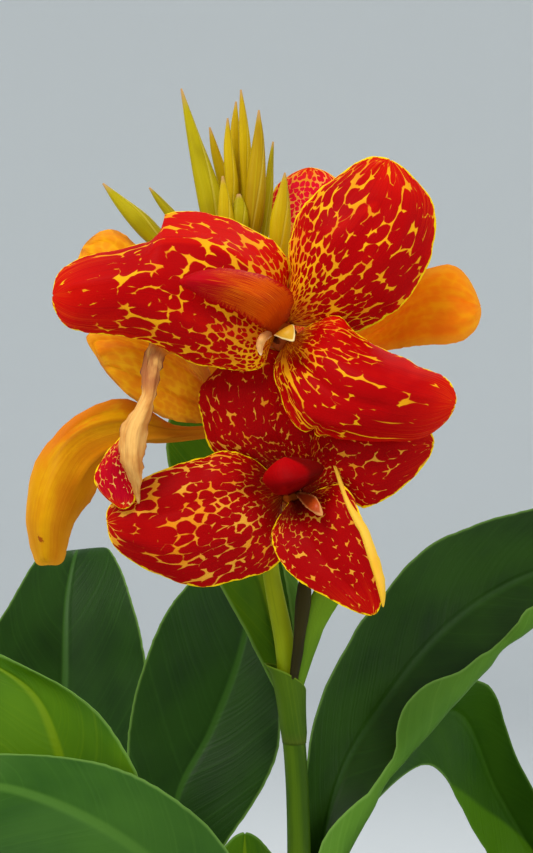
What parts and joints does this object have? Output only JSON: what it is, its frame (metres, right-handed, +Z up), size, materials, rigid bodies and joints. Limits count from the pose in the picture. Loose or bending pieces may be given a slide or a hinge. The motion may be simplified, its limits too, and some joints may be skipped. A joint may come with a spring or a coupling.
{
  "type": "canna lily plant",
  "caption": "Potted canna lily: upright leafy shoots from one rhizome, with a head of red, yellow-speckled flowers and pointed buds on the flowering shoot.",
  "frame": {"origin": "centre of the pot's underside", "axes": "+Z up along the pot's axis and the flowering stem, -Y towards the side that the front flower faces, +X to the right as seen from there"},
  "size_m": [0.4993, 0.4318, 0.8415],
  "materials": {
    "petal": "soft satin, red with yellow speckles",
    "petal_back": "soft satin, orange",
    "style": "satin, pale yellow",
    "withered": "dry, papery, tan",
    "bud": "satin, yellow-green",
    "stem": "satin, green",
    "leaf": "satin, waxy green with parallel side veins",
    "bract": "dry, dark brown and green",
    "pot": "matte terracotta",
    "soil": "rough, dark potting soil",
    "rhizome": "matte, pale brown"
  },
  "bodies": {
    "root": {"back_flower_tube": "stem", "back_petal_right": "petal_back", "back_staminode_upper": "petal_back", "bract_dark": "bract", "bract_right": "bract", "bud_front_short": "bud", "bud_left_back": "bud", "bud_left_tall": "bud", "bud_low_back": "bud", "bud_low_left": "bud", "bud_middle": "bud", "bud_middle_back": "bud", "bud_right_short": "bud", "bud_right_tall": "bud", "bud_right_thin": "bud", "bud_round": "bud", "bud_top": "bud", "faded_flower_tube": "stem", "faded_petal_drooping": "petal_back", "faded_petal_left": "petal_back", "faded_petal_upper": "petal_back", "flowering_stem": "stem", "front_anther": "petal", "front_flower_tube": "stem", "front_labellum": "petal", "front_staminode_left": "petal", "front_staminode_right": "petal", "front_staminode_upper": "petal", "front_style": "style", "leaf_back_top": "leaf", "leaf_front_left": "leaf", "leaf_left": "leaf", "leaf_left_back": "leaf", "leaf_low_back": "leaf", "leaf_low_front": "leaf", "leaf_low_front_right": "leaf", "leaf_low_left": "leaf", "leaf_low_right": "leaf", "leaf_middle": "leaf", "leaf_right": "leaf", "leaf_right_back": "leaf", "leaf_side_back": "leaf", "leaf_top": "leaf", "lower_flower_tube": "stem", "lower_stamen": "petal", "lower_staminode_bottom": "petal", "lower_staminode_left": "petal", "lower_staminode_right": "petal", "lower_staminode_upper": "petal", "lower_style": "style", "pot": "pot", "rachis": "stem", "rhizome": "rhizome", "side_shoot_back": "stem", "side_shoot_front": "stem", "side_shoot_left": "stem", "side_shoot_middle": "stem", "soil": "soil", "withered_petal": "withered", "withered_petal_flap": "withered"}
  },
  "joints": []
}
